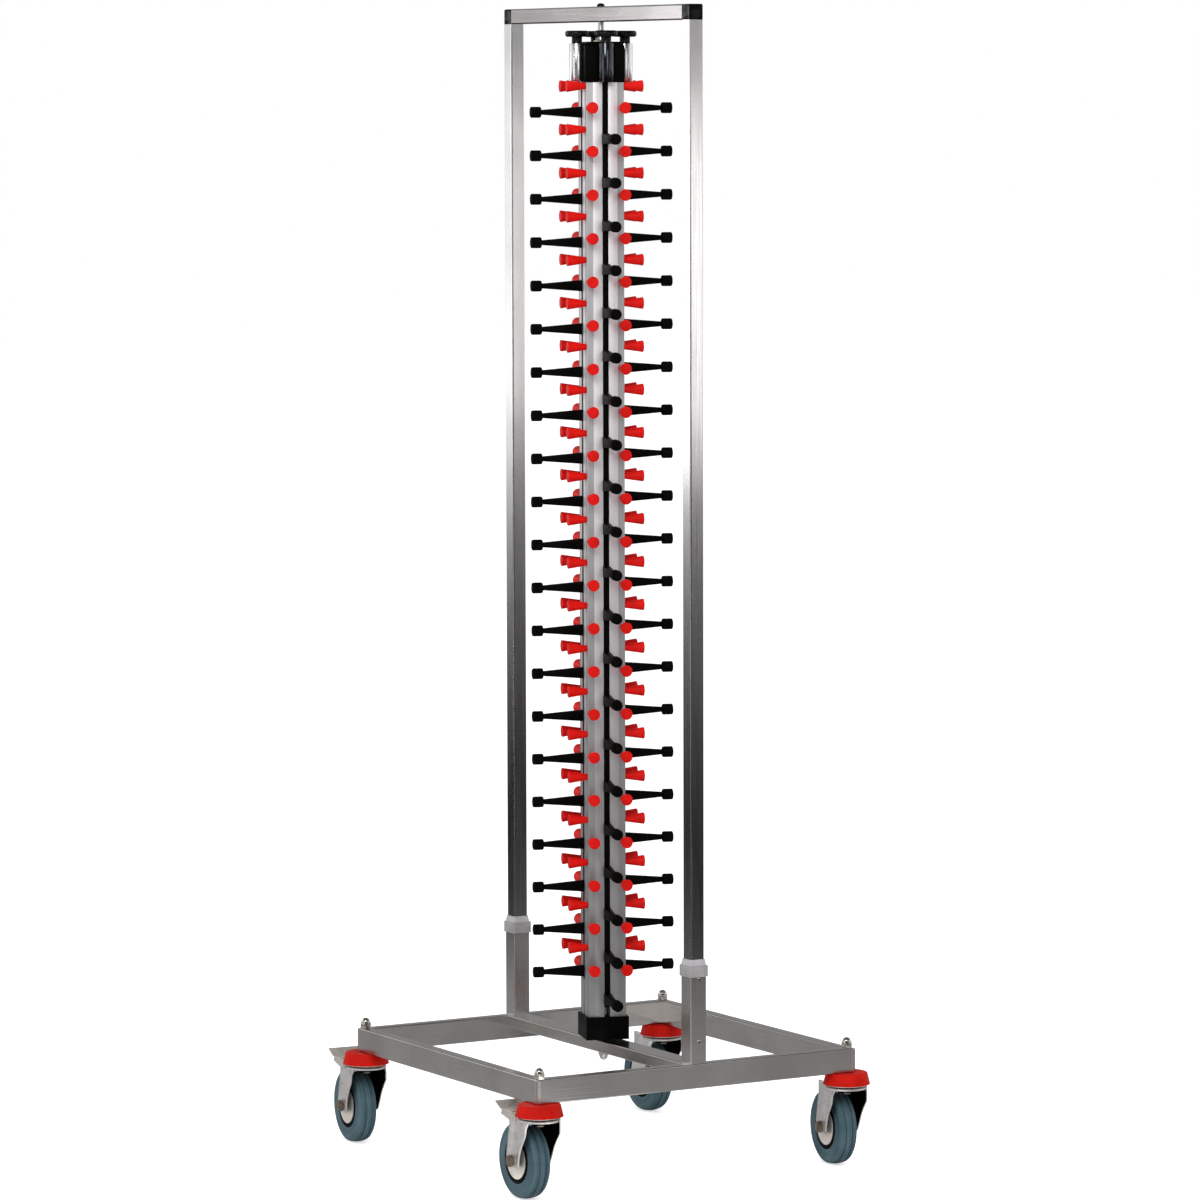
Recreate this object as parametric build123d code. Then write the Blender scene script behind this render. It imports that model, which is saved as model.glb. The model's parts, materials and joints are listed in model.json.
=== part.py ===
from build123d import *
import math
import os

# Mobile plate rack: a turning column of plate holders in a frame on casters.
# Millimetres. +Z is up, the floor is z = 0, -Y is the front, +X is the right side.

# Clearances used throughout
slip = 0.1
turning_gap = 0.08
thrust_gap = 0.2
# Cutters and joined shapes run past the faces that they meet by this much
overlap = 1.0
# Share of a rounded screw head's height that its rounding takes up
head_rounding = 0.85

# Base frame, a rectangle of upright rectangular tube
base_width = 600.0
base_depth = 606.0
rail_height = 40.0
rail_width = 20.0
beam_width = 40.0
beam_height = 20.0
tube_wall = 1.5
tube_corner = 2.0
inner_corner = 0.5

# Uprights and top bar, with the sockets and collars that the uprights stand in
frame_top = 1900.0
upright_size = 25.0
upright_corner = 2.5
spigot_length = 30.0
spigot_corner = 1.5
socket_height = 145.0
sleeve_wall = 0.8
sleeve_length = 40.0
collar_wall = 2.5
collar_corner = 3.0
collar_overlap = 3.5
collar_band = 18.0
collar_step = 2.0
neck_wall = 1.5
neck_height = 10.0
lower_screw_rise = 36.0
upper_screw_drop = 7.5
screw_head_radius = 3.2
screw_head_height = 2.2
screw_radius = 2.0
screw_length = 8.0

# Centre rod that carries the column
rod_radius = 5.0
nut_flats = 17.0
nut_height = 8.0
rod_end = 1.5
rod_cap_radius = 6.5
rod_cap_height = 5.5

# Column of four aluminium corner profiles between two end blocks
column_turn = -18.45
column_size = 65.0
column_headroom = 57.0
slot_width = 9.8
band_width = 15.4
band_step = 0.8
profile_wall = 2.8
profile_corner = 2.0
hollow_corner = 2.4
core_room = 12.6
groove_depth = 1.7
groove_height = 3.4
groove_place = 20.0
base_block_rise = 40.0
base_block_rim = 3.5
top_block_rim = 0.5
block_shoulder_drop = 7.0
block_shoulder_step = 6.0
block_round = 2.0
block_spigot = 20.0
bush_radius = 8.0
bush_flange_radius = 18.0
top_flange_radius = 12.0
bush_flange = 2.0

# Red pins above each plate, two to a level on each side
level_spacing = 70.75
first_pin_rise = 120.6
pin_spread = 27.2
pin_root_radius = 5.0
pin_end_radius = 9.75
pin_length = 31.8
pin_round = 1.0

# Black arms below each plate, one to a level on each side
arm_root_height = 18.5
arm_root_width = 12.0
arm_tip_size = 6.0
arm_tip_reach = 112.0
cap_radius = 9.0
cap_cover = 11.5
cap_end_wall = 6.0
cap_round = 2.2
cap_gap = 0.15

# Strips that carry the arms
strip_gap = 0.3
strip_depth = 17.0
strip_proud = 0.4
strip_margin = 14.0
strip_room = 1.0
rib_size = 1.4
rib_height = 2.8
lug_height = 12.0
lug_gap = 1.1

# How far each side's arms hang below its pins, and between which limits
drop_front = 50.6
drop_right = 35.5
drop_back = 46.0
drop_left = 42.4
drop_least = 25.0
drop_most = 60.0
top_margin = 3.0
bottom_margin = 5.0

# Height screws with their knobs and bright housings
screw_reach = 40.0
housing_radius = 12.6
housing_wall = 2.0
housing_floor = 3.0
housing_recess = 3.0
spindle_radius = 4.0
spindle_tip_radius = 3.0
knob_radius = 19.2
knob_lift = 8.0
knob_height = 10.0
knob_round = 4.0
neck_radius = 8.5
plug_height = 5.0

# Caster wheels, and how far each one has swung towards +X
turn_rear_left = 5.8
turn_front_left = 0.95
turn_front_right = 7.3
turn_rear_right = 0.8
wheel_radius = 62.5
wheel_trail = 50.0
tyre_width = 32.0
tyre_shoulder = 9.0
shoulder_round = 1.1
tread_inset = 4.0
tread_drop = 2.0
rim_radius = 38.0
rim_inset = 0.5
rim_thickness = 6.6
hub_inset = 0.8
web_half = 5.0
hub_radius = 14.0
sleeve_radius = 8.0
axle_radius = 5.0
axle_nut_height = 10.0
axle_head_height = 6.4
guard_thickness = 1.2
guard_clearance = 0.8
guard_boss = 10.0
guard_gap = 0.3

# Caster swivel head
wheel_room = 5.0
swivel_height = 21.0
swivel_gap = 3.0
stud_radius = 5.0
stud_rise = 12.0
stud_head_radius = 8.5
stud_head_height = 6.5
stud_head_round = 2.5
dome_flats = 16.5
dome_hex_height = 8.5
dome_height = 17.5
dome_radius = 7.4
ring_bottom_radius = 38.7
ring_taper = 4.7
ring_height = 19.2
ring_wall = 3.0
ring_round = 2.0
race_clearance = 2.1
race_rim = 4.6
race_plate = 2.0
race_dish = 4.0
race_hub_radius = 14.0
crown_plate = 3.0
crown_dish = 6.0
ball_radius = 3.0
ball_circle = 22.0
ball_count = 8
ball_gap = 0.3

# Fork legs: sheet thickness, face distance, foot below the axle, and sections upwards.
# A section is share of the leg's height, front edge (trail, flare), crease and rear trail.
leg_sheet = 2.5
leg_face = 24.0
leg_foot = 9.5
leg_sections = (
    (0.0, 28.0, 2.0, 36.0, 60.0),
    (0.06, 19.0, 6.0, 33.0, 65.5),
    (0.235, 14.0, 7.5, 30.0, 67.0),
    (0.41, 8.0, 8.0, 27.0, 63.5),
    (0.555, 0.0, 8.3, 25.0, 61.3),
    (0.715, -10.0, 9.0, 24.0, 58.5),
    (0.875, -12.0, 8.5, 23.0, 57.0),
    (1.0, -16.0, 5.5, 22.0, 57.0),
)

# Fork ears and brake pedal. Rises are measured from the top of the fork's crown.
ear_front = 28.0
ear_rear = 57.0
ear_top_rise = 4.0
ear_bottom_rise = -8.0
pivot_ear_rear = 45.0
pivot_ear_top_rise = 2.0
pivot_ear_low_rise = -3.0
pedal_pivot_trail = 38.0
pedal_pivot_rise = -3.4
pedal_pin_radius = 3.0
pedal_pin_end = 1.5
pedal_sheet = 2.0
pedal_flange_gap = 0.4
pedal_deck_rise = 8.0
pedal_deck_front = 42.0
pedal_deck_rear = 77.0
pedal_overhang = 2.1
pedal_lip_trail = 89.0
pedal_lip_rise = 19.0
pedal_lip_flare = 3.5
flange_end = 4.6
flange_knee_trail = 53.0
flange_knee_rise = -7.6
flange_rear_trail = 80.0
flange_rear_rise = -1.5
shoe_front = 52.0
shoe_rear = 66.0
shoe_half = 10.0
shoe_bottom_rise = -5.0

# Worked out from the sizes above: casters and base
axle_height = wheel_radius
crown_top = 2 * wheel_radius + wheel_room + crown_dish
race_bottom = crown_top + swivel_gap
base_bottom = race_bottom + swivel_height
base_top = base_bottom + rail_height
ring_top_radius = ring_bottom_radius - ring_taper
race_radius = ring_bottom_radius - ring_wall - race_clearance
race_inner_radius = race_radius - race_rim
rim_half = tyre_width / 2 - rim_inset
hub_half = rim_half - hub_inset
guard_radius = rim_radius - rim_thickness - guard_clearance
pedal_outer = leg_face + pedal_flange_gap + pedal_sheet
pedal_half_width = pedal_outer + pedal_overhang
bore_length = 2 * (pedal_half_width + overlap)
rail_x = base_width / 2 - rail_width / 2
rail_y = base_depth / 2 - rail_width / 2
axis_y = (ring_bottom_radius - wheel_trail - wheel_radius) / 2

# Uprights
socket_top = base_top + socket_height
socket_size = upright_size + 2 * (tube_wall + sleeve_wall + 2 * slip)
upright_y = base_depth / 2 - socket_size / 2
collar_size = socket_size + 2 * collar_wall
collar_bottom = socket_top - collar_overlap
collar_shoulder = collar_bottom + collar_band
collar_top = collar_shoulder + neck_height

# Column, from the top down: headroom, then room for the height screws' whole travel
half_column = column_size / 2
slot_half = slot_width / 2
pin_face = half_column - band_step
strip_face = half_column + strip_proud
strip_width = slot_width - 2 * strip_gap
hollow_low = slot_half + groove_depth + profile_wall
hollow_high = half_column - band_step - profile_wall
hollow_size = hollow_high - hollow_low
hollow_middle = (hollow_low + hollow_high) / 2
top_block_top = frame_top - column_headroom
block_shoulder = top_block_top - block_shoulder_drop
housing_top = top_block_top - housing_recess
lug_top_stop = housing_top - plug_height - top_margin
lug_bottom_stop = lug_top_stop - lug_height - (drop_most - drop_least)
profile_top = lug_bottom_stop - bottom_margin - housing_floor
base_block_bottom = base_top + thrust_gap + bush_flange
base_block_top = base_top + base_block_rise
base_block_size = column_size + 2 * base_block_rim
top_block_size = column_size + 2 * top_block_rim
block_top_size = top_block_size - 2 * block_shoulder_step
housing_bore = housing_radius - housing_wall
lug_radius = housing_bore - lug_gap
knob_bottom = top_block_top + knob_lift
cap_start = arm_tip_reach - cap_cover
cap_end = arm_tip_reach + cap_end_wall

# As many levels as fit: a pin of the higher rows still stands wholly on the profiles
first_pin = base_top + first_pin_rise
level_room = profile_top - pin_root_radius - first_pin - level_spacing / 2
level_count = int(level_room // level_spacing) + 1

# Sides of the column in turning order: how far its arms hang, and its rows' shift upwards
sides = {
    "front": (drop_front, 0.0),
    "right": (drop_right, level_spacing / 2),
    "back": (drop_back, 0.0),
    "left": (drop_left, level_spacing / 2),
}
# Casters: side and end of the base, swing, and whether it has a brake
casters = {
    "front_left": (-1, -1, turn_front_left, True),
    "front_right": (1, -1, turn_front_right, False),
    "rear_left": (-1, 1, turn_rear_left, True),
    "rear_right": (1, 1, turn_rear_right, False),
}


def save(node, *solids):
    """Move the solids so that the origin is under the middle of the object, and write them."""
    placed = [Pos(0, axis_y, 0) * solid for solid in solids]
    body = placed[0] if len(placed) == 1 else Compound(children=placed)
    export_step(body, f"parts/{node}.step")


def on_side(name, shape):
    """Turn a shape built facing +X to one side of the column."""
    quarter = list(sides).index(name) - 1
    return Rot(0, 0, 90 * quarter + column_turn) * shape


def at_caster(name, shape):
    """Place a shape built at a caster axis, trailing towards +Y."""
    step_x, step_y, turn, _ = casters[name]
    return Pos(step_x * rail_x, step_y * rail_y, 0) * Rot(0, 0, -turn) * shape


def square_tube(width, depth, low, high, corner):
    """Upright tube, open at both ends."""
    outer = RectangleRounded(width, depth, corner)
    inner_radius = max(corner - tube_wall, inner_corner)
    inner = RectangleRounded(width - 2 * tube_wall, depth - 2 * tube_wall, inner_radius)
    return Pos(0, 0, low) * extrude(outer - inner, high - low)


def hexagon(flats, low, high):
    return Pos(0, 0, low) * extrude(RegularPolygon(flats / math.sqrt(3), 6), high - low)


def disc(radius, low, high):
    return Pos(0, 0, low) * extrude(Circle(radius), high - low)


def ring(inner, outer, low, high):
    return Pos(0, 0, low) * extrude(Circle(outer) - Circle(inner), high - low)


# Base frame
def stud_holes():
    radius = stud_radius + slip
    hole = disc(radius, base_bottom - overlap, base_top + overlap)
    return [Pos(x * rail_x, y * rail_y, 0) * hole for x in (-1, 1) for y in (-1, 1)]


def mitred_rail(length, across, height_middle):
    """Rail along Y, ends cut at 45 degrees so that its outer side is the long one (at -X)."""
    tube = square_tube(rail_width, rail_height, -length / 2, length / 2, tube_corner)
    tube = Pos(-across, 0, height_middle) * Rot(90, 0, 0) * tube
    outer = across + rail_width / 2
    inner = across - rail_width / 2
    plan = Polygon(
        (-outer, -length / 2),
        (-inner, -length / 2 + rail_width),
        (-inner, length / 2 - rail_width),
        (-outer, length / 2),
        align=None,
    )
    keep = Pos(0, 0, base_bottom - overlap) * extrude(plan, rail_height + 2 * overlap)
    return tube & keep


def base_rails():
    middle = base_top - rail_height / 2
    side = mitred_rail(base_depth, rail_x, middle)
    end = mitred_rail(base_width, rail_y, middle)
    holes = stud_holes()
    save("base_left_rail", side - holes)
    save("base_right_rail", Rot(0, 0, 180) * side - holes)
    save("base_front_rail", Rot(0, 0, 90) * end - holes)
    save("base_rear_rail", Rot(0, 0, -90) * end - holes)


def crossbeam():
    half = base_depth / 2 - rail_width
    beam = square_tube(beam_width, beam_height, -half, half, tube_corner)
    beam = Pos(0, 0, base_top - beam_height / 2) * Rot(90, 0, 0) * beam
    beam -= disc(rod_radius + slip, base_bottom, base_top + overlap)
    save("crossbeam", beam)


# Uprights
def screw_places():
    """Each screw enters the outer face of a socket and points inwards."""
    outer = base_depth / 2
    heights = (base_top + lower_screw_rise, socket_top - upper_screw_drop)
    right = [Pos(0, -outer, z) * Rot(90, 0, 0) for z in heights]
    left = [Pos(0, outer, z) * Rot(-90, 0, 0) for z in heights]
    return right + left


def screw_holes():
    hole = disc(screw_radius + slip / 2, -screw_length - overlap, overlap)
    return [place * hole for place in screw_places()]


def both_ends(shape):
    """The same shape at the right upright and, turned round, at the left one."""
    return [Pos(0, -upright_y, 0) * shape, Rot(0, 0, 180) * Pos(0, -upright_y, 0) * shape]


def sockets():
    holes = screw_holes()
    tube = square_tube(socket_size, socket_size, base_top, socket_top, tube_corner)
    save("upright_sockets", *[piece - holes for piece in both_ends(tube)])


def collar():
    """Plastic collar: a band over the socket, a tapered neck and a thin sleeve inside."""
    neck_size = upright_size + 2 * neck_wall
    shoulder_size = collar_size - 2 * collar_step
    band = RectangleRounded(collar_size, collar_size, collar_corner)
    wide = RectangleRounded(shoulder_size, shoulder_size, collar_corner)
    narrow = RectangleRounded(neck_size, neck_size, collar_corner)
    body = Pos(0, 0, collar_bottom) * extrude(band, collar_band)
    body += loft([Pos(0, 0, collar_shoulder) * wide, Pos(0, 0, collar_top) * narrow])
    socket = RectangleRounded(socket_size + 2 * slip, socket_size + 2 * slip, tube_corner)
    body -= Pos(0, 0, collar_bottom) * extrude(socket, collar_overlap)
    sleeve_size = socket_size - 2 * tube_wall - 2 * slip
    sleeve = RectangleRounded(sleeve_size, sleeve_size, inner_corner)
    sleeve_low = socket_top - sleeve_length
    body += Pos(0, 0, sleeve_low) * extrude(sleeve, sleeve_length)
    passage = RectangleRounded(upright_size + 2 * slip, upright_size + 2 * slip, upright_corner)
    return body - Pos(0, 0, sleeve_low) * extrude(passage, collar_top - sleeve_low)


def collars():
    holes = screw_holes()
    save("socket_collars", *[piece - holes for piece in both_ends(collar())])


def uprights():
    holes = screw_holes()
    top = frame_top - upright_size
    tube = square_tube(upright_size, upright_size, base_top, top, upright_corner)
    right, left = [piece - holes for piece in both_ends(tube)]
    save("upright_right", right)
    save("upright_left", left)


def socket_screws():
    shank = disc(screw_radius, -screw_length, 0)
    head = disc(screw_head_radius, 0, screw_head_height)
    head = fillet(head.edges().group_by(Axis.Z)[-1], screw_head_height * head_rounding)
    save("socket_screws", *[place * (shank + head) for place in screw_places()])


def top_bar():
    half = upright_y - upright_size / 2
    bar = square_tube(upright_size, upright_size, -half, half, upright_corner)
    bar = Pos(0, 0, frame_top - upright_size / 2) * Rot(90, 0, 0) * bar
    bar -= disc(rod_radius + slip, top_block_top, frame_top + overlap)
    save("top_bar", bar)


def connector():
    """Corner block with one spigot down into the upright and one into the top bar."""
    cube = Box(upright_size, upright_size, upright_size)
    mating = cube.faces().sort_by(Axis.Y)[-1].edges() + cube.faces().sort_by(Axis.Z)[0].edges()
    outer = [edge for edge in cube.edges() if not any(edge.is_same(other) for other in mating)]
    cube = fillet(outer, upright_corner)
    spigot_size = upright_size - 2 * tube_wall - 2 * slip
    spigot = extrude(RectangleRounded(spigot_size, spigot_size, spigot_corner), spigot_length)
    reach = upright_size / 2
    down = Pos(0, 0, -reach - spigot_length) * spigot
    across = Pos(0, reach, 0) * Rot(-90, 0, 0) * spigot
    return Pos(0, 0, frame_top - reach) * (cube + down + across)


def corner_connectors():
    save("corner_connectors", *both_ends(connector()))


# Centre rod
def centre_rod():
    low = base_top - beam_height - nut_height - rod_end
    high = frame_top + rod_cap_height / 2
    save("centre_rod", disc(rod_radius, low, high))


def rod_nuts():
    bore = rod_radius + slip / 2
    beam_under = base_top - beam_height
    lower = hexagon(nut_flats, beam_under - nut_height, beam_under) - disc(bore, 0, base_top)
    lock_low = top_block_top + bush_flange + thrust_gap
    lock = hexagon(nut_flats, lock_low, lock_low + nut_height) - disc(bore, 0, frame_top)
    cap = disc(rod_cap_radius, frame_top, frame_top + rod_cap_height)
    cap = fillet(cap.edges().group_by(Axis.Z)[-1], rod_cap_height * head_rounding)
    cap -= disc(bore, frame_top, frame_top + rod_cap_height / 2)
    save("rod_nuts", lower, lock, cap)


# Column
def profile_section():
    """One corner profile, with its slot sides, its guide grooves and its stepped outer faces."""
    cut = core_room * math.sqrt(2) - slot_half
    groove = slot_half + groove_depth
    groove_end = groove_place + groove_height
    side = [
        (cut, slot_half),
        (groove_place, slot_half),
        (groove_place, groove),
        (groove_end, groove),
        (groove_end, slot_half),
        (half_column, slot_half),
        (half_column, slot_half + band_width),
        (pin_face, slot_half + band_width),
    ]
    mirrored = [(y, x) for x, y in reversed(side)]
    outline = Polygon(*side, (pin_face, pin_face), *mirrored, align=None)
    corner = outline.vertices().sort_by_distance((pin_face, pin_face, 0))[0]
    hollow = RectangleRounded(hollow_size, hollow_size, hollow_corner)
    return fillet(corner, profile_corner) - Pos(hollow_middle, hollow_middle, 0) * hollow


def quarters(shape):
    return [Rot(0, 0, column_turn + 90 * quarter) * shape for quarter in range(4)]


def column_profiles():
    section = Pos(0, 0, base_block_top) * profile_section()
    profile = extrude(section, profile_top - base_block_top)
    save("column_profiles", *quarters(profile))


def spigots(low, high):
    size = hollow_size - 2 * slip
    spigot = extrude(RectangleRounded(size, size, hollow_corner), high - low)
    return quarters(Pos(hollow_middle, hollow_middle, low) * spigot)


def base_block():
    height = base_block_top - base_block_bottom
    block = extrude(RectangleRounded(base_block_size, base_block_size, block_round), height)
    block = Rot(0, 0, column_turn) * Pos(0, 0, base_block_bottom) * block
    block += spigots(base_block_top, base_block_top + block_spigot)
    block -= disc(bush_radius + slip / 2, base_top, base_block_top + block_spigot)
    save("base_block", block)


def housing_seat(radius):
    return Pos(screw_reach, 0, 0) * disc(radius, profile_top, top_block_top)


def top_block():
    wide = RectangleRounded(top_block_size, top_block_size, block_round)
    narrow = RectangleRounded(block_top_size, block_top_size, block_round)
    block = Pos(0, 0, profile_top) * extrude(wide, block_shoulder - profile_top)
    block += loft([Pos(0, 0, block_shoulder) * wide, Pos(0, 0, top_block_top) * narrow], ruled=True)
    block = Rot(0, 0, column_turn) * block
    room = slot_width + 2 * slip
    height = top_block_top - profile_top
    slot = Box(top_block_size, room, height, align=(Align.MIN, Align.CENTER, Align.MIN))
    slot = Pos(strip_face - strip_depth - strip_room, 0, profile_top) * slot
    for name in sides:
        block -= on_side(name, slot)
        block -= on_side(name, housing_seat(housing_radius + slip))
    block += spigots(profile_top - block_spigot, profile_top)
    block -= disc(bush_radius + slip / 2, 0, frame_top)
    save("top_block", block)


def column_bushes():
    bore = rod_radius + turning_gap
    low = ring(bore, bush_flange_radius, base_block_bottom - bush_flange, base_block_bottom)
    low += ring(bore, bush_radius, base_block_bottom, base_block_bottom + block_spigot)
    high = ring(bore, top_flange_radius, top_block_top, top_block_top + bush_flange)
    high += ring(bore, bush_radius, top_block_top - block_spigot, top_block_top)
    save("column_bushes", low, high)


def screw_housing():
    """Bright cup over each height screw, slotted on its inner side for the strip's lug."""
    cup = disc(housing_radius, profile_top, housing_top)
    cup -= disc(housing_bore, profile_top + housing_floor, housing_top)
    cup -= disc(spindle_tip_radius + turning_gap, profile_top, housing_top)
    room = slot_width + 2 * slip
    height = housing_top - profile_top
    reach = screw_reach - strip_face - strip_room
    slot = Box(housing_radius, room, height, align=(Align.MAX, Align.CENTER, Align.MIN))
    cup -= Pos(-reach, 0, profile_top) * slot
    cup -= Pos(0, 0, profile_top + housing_floor) * extrude(
        Pos(-housing_radius / 2, 0) * Rectangle(housing_radius, room), height
    )
    return Pos(screw_reach, 0, 0) * cup


def screw_housings():
    save("screw_housings", *[on_side(name, screw_housing()) for name in sides])


# Pins, strips and arms
def levels(name):
    """Heights of the pin rows on one side, lowest first."""
    start = first_pin + sides[name][1]
    return [start + level * level_spacing for level in range(level_count)]


def red_pins():
    base = (Align.CENTER, Align.CENTER, Align.MIN)
    pin = Cone(pin_root_radius, pin_end_radius, pin_length, align=base)
    pin = fillet(pin.edges().group_by(Axis.Z)[-1], pin_round)
    pin = Pos(pin_face, 0, 0) * Rot(0, 90, 0) * pin
    pins = []
    for name in sides:
        row = [Pos(0, side * pin_spread, z) * pin for z in levels(name) for side in (-1, 1)]
        pins += [on_side(name, piece) for piece in row]
    save("red_pins", *pins)


def lug_low(name):
    """Underside of the nut lug, which is as far below its top stop as the arms are lowered."""
    return lug_top_stop - lug_height - (sides[name][0] - drop_least)


def strip_bar(name):
    """Bar in the column's slot, with a guide rib on each side that stays inside the profiles."""
    drop = sides[name][0]
    low = levels(name)[0] - drop - strip_margin
    high = lug_low(name) + lug_height
    rib_top = profile_top - (drop - drop_least) - strip_room
    core = Pos(strip_face - strip_depth / 2, 0) * Rectangle(strip_depth, strip_width)
    rib_width = strip_width + 2 * rib_size
    ribs = Pos(groove_place + groove_height / 2, 0) * Rectangle(rib_height, rib_width)
    bar = Pos(0, 0, low) * extrude(core, high - low)
    return bar + Pos(0, 0, low) * extrude(ribs, rib_top - low)


def strip_lug(name):
    """Nut lug on the strip's upper end, round the height screw."""
    low = lug_low(name)
    boss = Pos(screw_reach, 0, 0) * disc(lug_radius, low, low + lug_height)
    reach = screw_reach - strip_face
    link = Box(reach, strip_width, lug_height, align=(Align.MIN, Align.CENTER, Align.MIN))
    lug = boss + Pos(strip_face, 0, low) * link
    return lug - Pos(screw_reach, 0, 0) * disc(spindle_radius + slip, low, low + lug_height)


def arm_size(reach, root, tip):
    """Size of the tapered arm at a distance from the column's axis."""
    share = (reach - strip_face) / (arm_tip_reach - strip_face)
    return root + share * (tip - root)


def arm_section(reach, grow):
    width = arm_size(reach, arm_root_width, arm_tip_size) + grow
    height = arm_size(reach, arm_root_height, arm_tip_size) + grow
    return Plane.YZ.offset(reach) * Rectangle(width, height)


def arm():
    return loft([arm_section(strip_face, 0), arm_section(arm_tip_reach, 0)], ruled=True)


def arm_cap():
    """Rubber cap, with a pocket that fits the arm's tapered end."""
    cap = disc(cap_radius, cap_start, cap_end)
    ends = cap.edges().group_by(Axis.Z)
    cap = fillet(ends[0] + ends[-1], cap_round)
    cap = Rot(0, 90, 0) * cap
    return cap - loft([arm_section(cap_start, cap_gap), arm_section(arm_tip_reach, cap_gap)], ruled=True)


def strips_and_arms():
    one_arm = arm()
    one_cap = arm_cap()
    for name in sides:
        drop = sides[name][0]
        heights = [z - drop for z in levels(name)]
        save(f"strip_{name}", on_side(name, strip_bar(name)), on_side(name, strip_lug(name)))
        save(f"arms_{name}", *[on_side(name, Pos(0, 0, z) * one_arm) for z in heights])
        save(f"arm_caps_{name}", *[on_side(name, Pos(0, 0, z) * one_cap) for z in heights])


# Height knobs
def knob():
    head = disc(knob_radius, knob_bottom, knob_bottom + knob_height)
    edges = head.edges().group_by(Axis.Z)
    head = fillet(edges[0] + edges[-1], knob_round)
    head += disc(neck_radius, housing_top - overlap, knob_bottom + overlap)
    return head + disc(housing_bore - turning_gap, housing_top - plug_height, housing_top)


def spindle():
    shoulder = profile_top + housing_floor
    stem = disc(spindle_radius, shoulder, housing_top - plug_height)
    return stem + disc(spindle_tip_radius, profile_top, shoulder + overlap)


def knobs():
    place = Pos(screw_reach, 0, 0)
    for name in sides:
        save(f"knob_{name}", on_side(name, place * knob()), on_side(name, place * spindle()))


# Casters
def caster_studs():
    head_top = crown_top - crown_dish - guard_gap
    shank = disc(stud_radius, head_top - overlap, base_top + stud_rise)
    head = disc(stud_head_radius, head_top - stud_head_height, head_top)
    head = fillet(head.edges().group_by(Axis.Z)[0], stud_head_round)
    stud = shank + head
    save("caster_studs", *[at_caster(name, stud) for name in casters])


def dome_nut():
    nut = hexagon(dome_flats, base_top, base_top + dome_hex_height)
    top = base_top + dome_height
    shoulder = top - dome_radius
    dome = disc(dome_radius, base_top, shoulder)
    dome += Pos(0, 0, shoulder) * Sphere(dome_radius)
    dome &= disc(dome_flats, base_top, top)
    return nut + dome - disc(stud_radius + slip / 2, base_bottom, base_top + stud_rise)


def bumper_ring():
    low = base_bottom - ring_height
    outline = Polygon(
        (stud_radius + slip, base_bottom),
        (ring_top_radius, base_bottom),
        (ring_bottom_radius, low),
        (ring_bottom_radius - ring_wall, low),
        (ring_top_radius - ring_wall, base_bottom - ring_wall),
        (stud_radius + slip, base_bottom - ring_wall),
        align=None,
    )
    corner = outline.vertices().sort_by_distance((ring_top_radius, base_bottom, 0))[0]
    return revolve(Plane.XZ * fillet(corner, ring_round), Axis.Z)


def ball_groove():
    groove = Torus(ball_circle, ball_radius + ball_gap)
    return Pos(0, 0, ball_height()) * groove


def ball_height():
    return (race_bottom + crown_top) / 2


def upper_race():
    """Fixed plate of the swivel head, clamped under the bumper ring by the stud."""
    bore = stud_radius + slip / 2
    race = ring(bore, race_radius, race_bottom, race_bottom + race_plate)
    race += ring(bore, race_inner_radius, race_bottom, race_bottom + race_dish)
    race += ring(bore, race_hub_radius, race_bottom, base_bottom - ring_wall)
    return race - ball_groove()


def swivel_balls():
    ball = Pos(ball_circle, 0, ball_height()) * Sphere(ball_radius)
    circle = [Rot(0, 0, 360 * step / ball_count) * ball for step in range(ball_count)]
    save("swivel_balls", *[at_caster(name, piece) for name in casters for piece in circle])


def leg_section(share, front_trail, rise, crease, rear):
    """Plan of one leg's bent sheet at a share of its height, on the +X side."""
    foot = axle_height - leg_foot
    height = foot + share * (crown_top - crown_plate + overlap - foot)
    run = crease - front_trail
    front_side = leg_face + rise
    length = math.hypot(run, rise)
    bend = math.atan2(rise, run)
    inside = leg_face - leg_sheet
    plan = Polygon(
        (front_side, front_trail),
        (leg_face, crease),
        (leg_face, rear),
        (inside, rear),
        (inside, crease - leg_sheet * math.tan(bend / 2)),
        (front_side - leg_sheet * run / length, front_trail - leg_sheet * rise / length),
        align=None,
    )
    return Pos(0, 0, height) * plan


def fork_ear(braked):
    """Upper rear corner of a leg, which holds the pedal's pin on a caster with a brake."""
    if braked:
        top = [(pivot_ear_rear, pivot_ear_top_rise), (ear_front, pivot_ear_top_rise)]
        rear_top = pivot_ear_low_rise
    else:
        top = [(ear_front, ear_top_rise)]
        rear_top = ear_top_rise
    rear = [(ear_front, ear_bottom_rise), (ear_rear, ear_bottom_rise), (ear_rear, rear_top)]
    outline = [(trail, crown_top + rise) for trail, rise in rear + top]
    return side_plate(outline, leg_face - leg_sheet, leg_face)


def fork(braked):
    """Pressed fork: a round crown and two flared legs."""
    leg = loft([leg_section(*section) for section in leg_sections], ruled=True)
    leg += fork_ear(braked)
    body = leg + mirror(leg, Plane.YZ)
    body += disc(race_radius, crown_top - crown_plate, crown_top)
    body += disc(race_inner_radius, crown_top - crown_dish, crown_top)
    body -= disc(stud_radius + turning_gap, 0, crown_top)
    body -= ball_groove()
    body -= on_axle(Cylinder(axle_radius + slip / 2, bore_length))
    if braked:
        body -= on_pivot(Cylinder(pedal_pin_radius + turning_gap, bore_length))
    return body


def on_axle(shape):
    """Lay a shape built along Z on the wheel's axle, which runs along X."""
    return Pos(0, wheel_trail, axle_height) * Rot(0, 90, 0) * shape


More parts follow.
